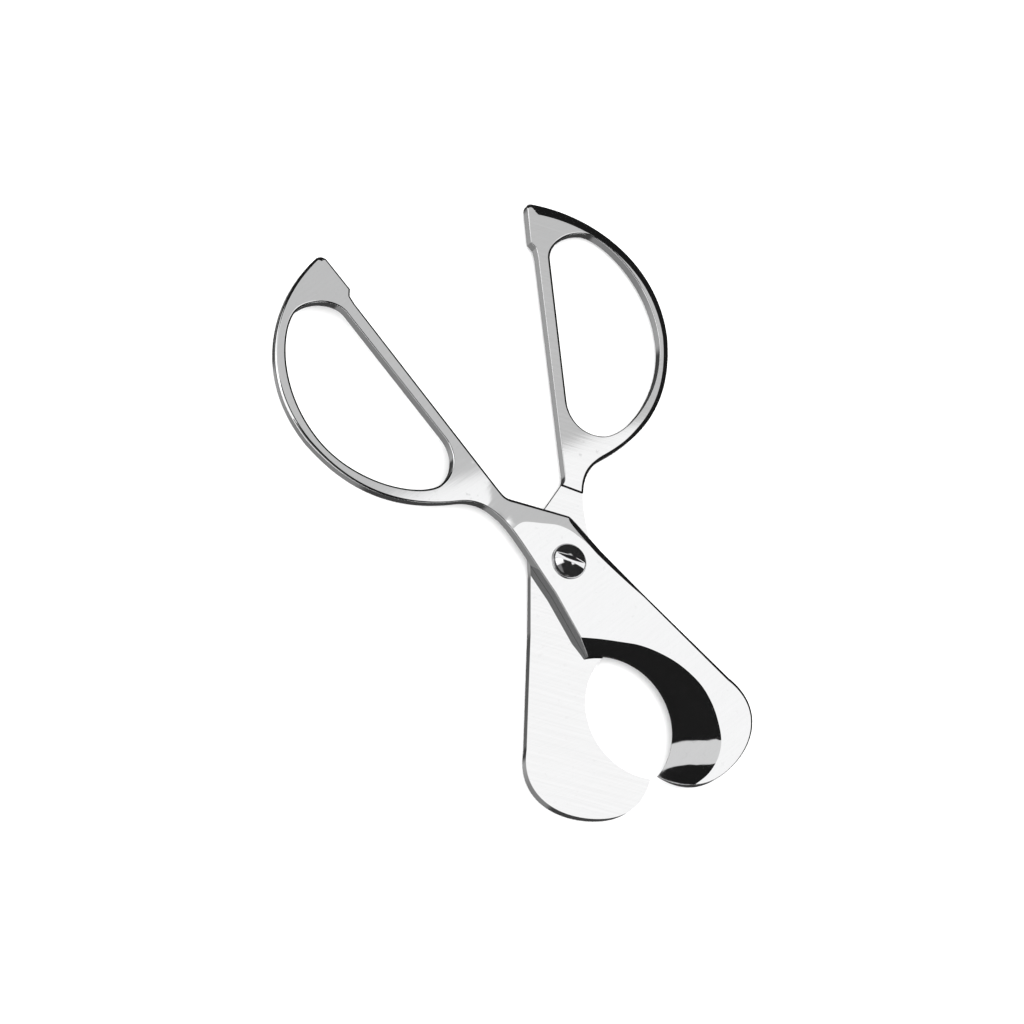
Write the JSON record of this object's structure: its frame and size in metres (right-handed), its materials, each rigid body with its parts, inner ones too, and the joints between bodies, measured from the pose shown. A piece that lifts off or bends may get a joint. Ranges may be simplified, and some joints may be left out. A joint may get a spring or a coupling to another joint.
{
  "type": "cigar scissors",
  "caption": "Steel scissors with two crescent blades that close round a circular opening, D-shaped finger loops and a slotted pivot screw.",
  "frame": {"origin": "on the pivot axis, in the plane that the scissors lie on", "axes": "+Z along the pivot axis towards the screw's head, +Y from the pivot towards the blades, midway between the two halves at rest, +X towards the front half's finger loop"},
  "size_m": [0.0788, 0.1111, 0.0054],
  "materials": {
    "polished_steel": "mirror polished stainless steel",
    "ground_steel": "polished outside, finely ground on the mating face",
    "screw_steel": "polished, turned steel screw",
    "washer_steel": "bright spring steel"
  },
  "bodies": {
    "rear": {"rear_half": "ground_steel", "pivot_screw": "screw_steel", "spring_washer": "washer_steel"},
    "front": {"front_half": "polished_steel"}
  },
  "joints": [
    {"name": "blade_pivot", "type": "hinge", "parent": "rear", "child": "front", "pos_m": [0, 0, 0.002], "axis": [0, 0, 1], "range_deg": [-36, 74]}
  ]
}
